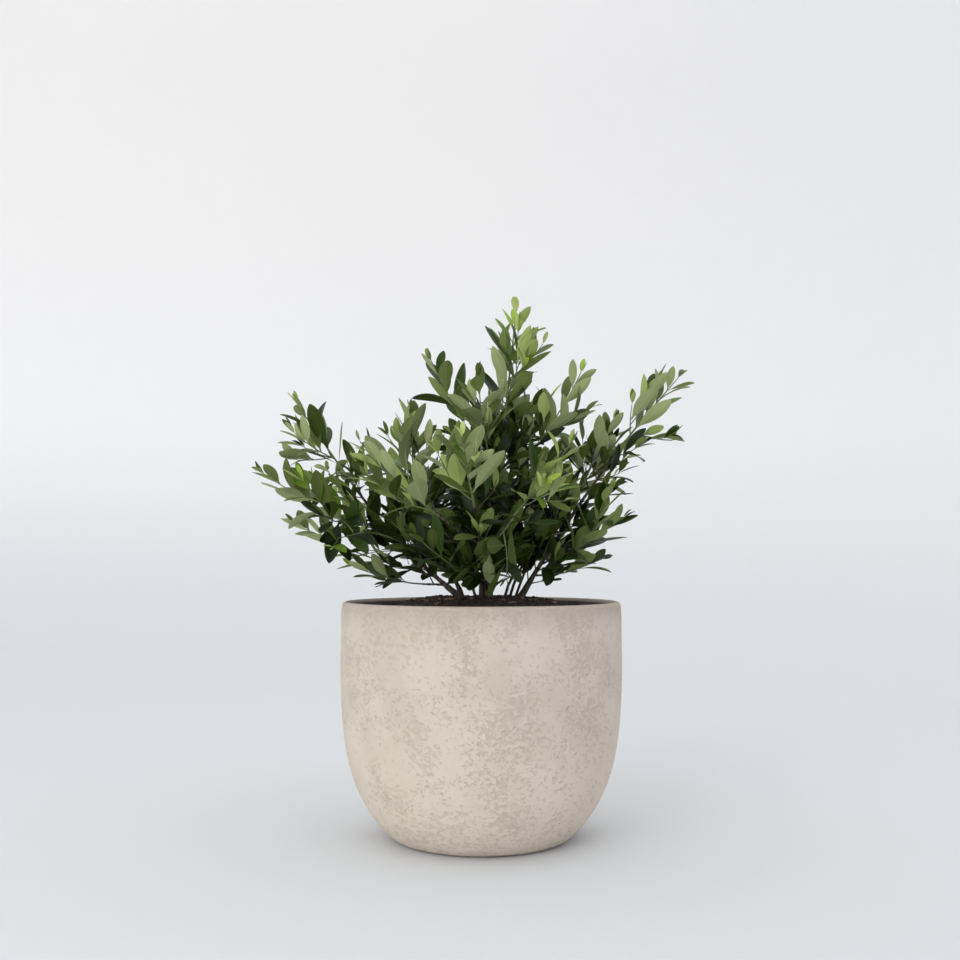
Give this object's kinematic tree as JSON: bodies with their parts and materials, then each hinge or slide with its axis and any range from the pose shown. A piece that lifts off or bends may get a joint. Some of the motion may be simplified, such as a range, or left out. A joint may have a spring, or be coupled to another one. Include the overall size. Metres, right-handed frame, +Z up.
{
  "type": "potted olive shrub",
  "caption": "Young olive shrub with several thin stems and an open, spreading crown of narrow leaves, in a round cement pot with a small flat foot.",
  "frame": {"origin": "middle of the pot's flat underside, on the surface it stands on", "axes": "+Z up along the pot's axis, +X to the right and -Y towards the viewer in the front view"},
  "size_m": [0.4711, 0.3894, 0.573],
  "materials": {
    "cement": "matte",
    "soil": "matte",
    "bark": "matte",
    "leaves": "satin"
  },
  "bodies": {
    "root": {"bough_back_left": "bark", "bough_back_low": "bark", "bough_back_right": "bark", "bough_front_left": "bark", "bough_front_low": "bark", "bough_front_right": "bark", "bough_left_foot": "bark", "bough_left_inner": "bark", "bough_left_low": "bark", "bough_left_middle": "bark", "bough_right_foot": "bark", "bough_right_low": "bark", "bough_right_shoulder": "bark", "bough_upper_back": "bark", "bough_upper_front": "bark", "bough_upper_left": "bark", "bough_upper_right": "bark", "leaves_back_left": "leaves", "leaves_back_low": "leaves", "leaves_back_low_right": "leaves", "leaves_back_middle": "leaves", "leaves_back_right": "leaves", "leaves_crown_top": "leaves", "leaves_front_left": "leaves", "leaves_front_low": "leaves", "leaves_front_low_right": "leaves", "leaves_front_middle": "leaves", "leaves_front_right": "leaves", "leaves_heart_back": "leaves", "leaves_heart_front": "leaves", "leaves_heart_left": "leaves", "leaves_heart_right": "leaves", "leaves_left_back": "leaves", "leaves_left_foot": "leaves", "leaves_left_front": "leaves", "leaves_left_high": "leaves", "leaves_left_inner": "leaves", "leaves_left_low": "leaves", "leaves_left_middle": "leaves", "leaves_left_shoulder": "leaves", "leaves_right_back": "leaves", "leaves_right_foot": "leaves", "leaves_right_front": "leaves", "leaves_right_high": "leaves", "leaves_right_low": "leaves", "leaves_right_middle": "leaves", "leaves_right_shoulder": "leaves", "leaves_upper_back": "leaves", "leaves_upper_front": "leaves", "leaves_upper_left": "leaves", "leaves_upper_right": "leaves", "pot": "cement", "soil": "soil", "stem_back": "bark", "stem_front": "bark", "stem_left": "bark", "stem_middle": "bark", "stem_right": "bark"}
  },
  "joints": []
}
